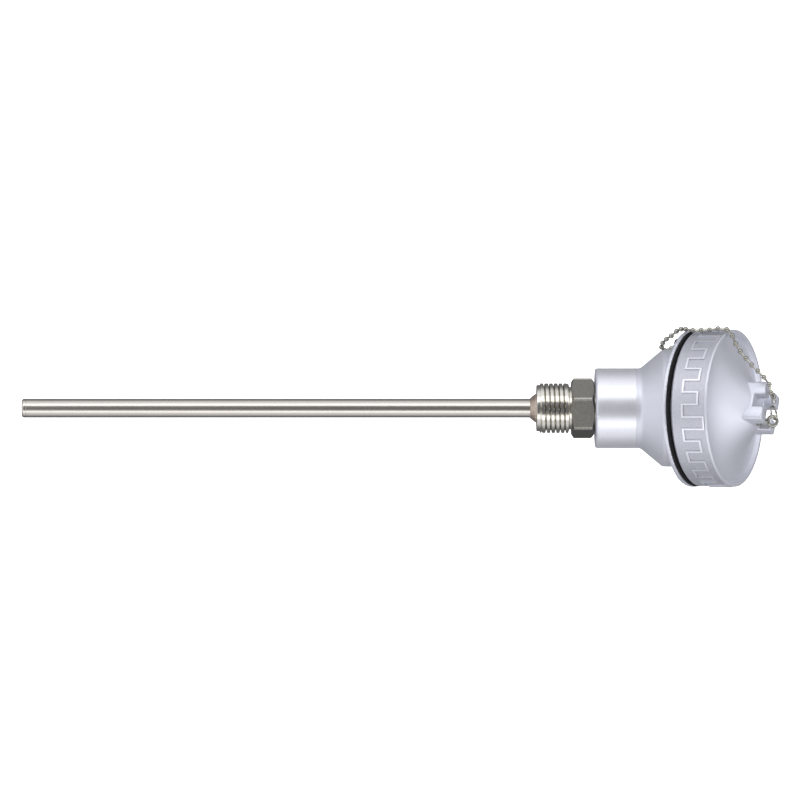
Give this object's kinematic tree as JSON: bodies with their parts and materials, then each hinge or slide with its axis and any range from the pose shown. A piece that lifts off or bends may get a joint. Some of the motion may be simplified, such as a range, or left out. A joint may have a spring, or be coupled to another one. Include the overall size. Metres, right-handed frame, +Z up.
{
  "type": "thermometer probe with connection head",
  "caption": "Straight metal temperature probe with a hexagon process thread and a small aluminium connection head, screw cap on a ball chain.",
  "frame": {"origin": "centre of the hexagon's seat, where the process thread starts, on the probe's axis", "axes": "+X along the probe from its tip to the head, +Z up; the cap's axis leans from +X towards +Z and the cable entry points along -Z"},
  "size_m": [0.2405, 0.0508, 0.0675],
  "materials": {
    "cast_aluminium": "fine blasted casting with turned neck",
    "stainless_steel": "drawn and turned",
    "nickel_plate": "bright nickel with a warm tint",
    "brass": "turned",
    "ceramic": "glazed white steatite",
    "rubber": "matt black"
  },
  "bodies": {
    "root": {"block_screw_1": "stainless_steel", "block_screw_2": "stainless_steel", "block_washer_1": "stainless_steel", "block_washer_2": "stainless_steel", "cable_bush": "rubber", "chain_eyelet": "nickel_plate", "chain_screw": "nickel_plate", "clamp_washer_1_cable": "nickel_plate", "clamp_washer_1_lead": "nickel_plate", "clamp_washer_2_cable": "nickel_plate", "clamp_washer_2_lead": "nickel_plate", "clamp_washer_3_cable": "nickel_plate", "clamp_washer_3_lead": "nickel_plate", "head_body": "cast_aluminium", "lead_insulator_1": "ceramic", "lead_insulator_2": "ceramic", "lead_insulator_3": "ceramic", "lead_insulator_4": "ceramic", "lead_wire_1": "nickel_plate", "lead_wire_2": "nickel_plate", "lead_wire_3": "nickel_plate", "process_fitting": "stainless_steel", "protection_tube": "stainless_steel", "sensing_element": "ceramic", "terminal_block": "ceramic", "terminal_plate_1": "brass", "terminal_plate_2": "brass", "terminal_plate_3": "brass", "terminal_screw_1_cable": "brass", "terminal_screw_1_lead": "brass", "terminal_screw_2_cable": "brass", "terminal_screw_2_lead": "brass", "terminal_screw_3_cable": "brass", "terminal_screw_3_lead": "brass", "tip_cap": "stainless_steel", "tube_seal": "rubber", "weld_bead": "stainless_steel"},
    "cap_carrier": {"flange_gasket": "rubber", "ball_chain": "nickel_plate"},
    "cap": {"lid": "cast_aluminium", "lid_eye_screw": "nickel_plate", "split_ring": "nickel_plate", "lid_chain_clasp": "nickel_plate"},
    "gland_carrier": {"gland_washer": "nickel_plate"},
    "gland": {"gland_nut": "cast_aluminium"}
  },
  "joints": [
    {"name": "cap_travel", "type": "slide", "parent": "root", "child": "cap_carrier", "axis": [0.9063, 0, 0.4226], "range_m": [0, 0.006], "deforming": ["ball_chain"]},
    {"name": "cap_unscrew", "type": "hinge", "parent": "cap_carrier", "child": "cap", "pos_m": [0.0395, 0, 0], "axis": [0.9063, 0, 0.4226], "range_deg": [0, 1440]},
    {"name": "gland_travel", "type": "slide", "parent": "root", "child": "gland_carrier", "axis": [0, 0, -1], "range_m": [0, 0.006]},
    {"name": "gland_unscrew", "type": "hinge", "parent": "gland_carrier", "child": "gland", "pos_m": [0.0375, 0, -0.036], "axis": [0, 0, -1], "range_deg": [0, 1440]}
  ],
  "couplings": [
    {"joint": "cap_unscrew", "follows": "cap_travel", "rad_per_m": 4188.8},
    {"joint": "gland_unscrew", "follows": "gland_travel", "rad_per_m": 4188.8}
  ]
}
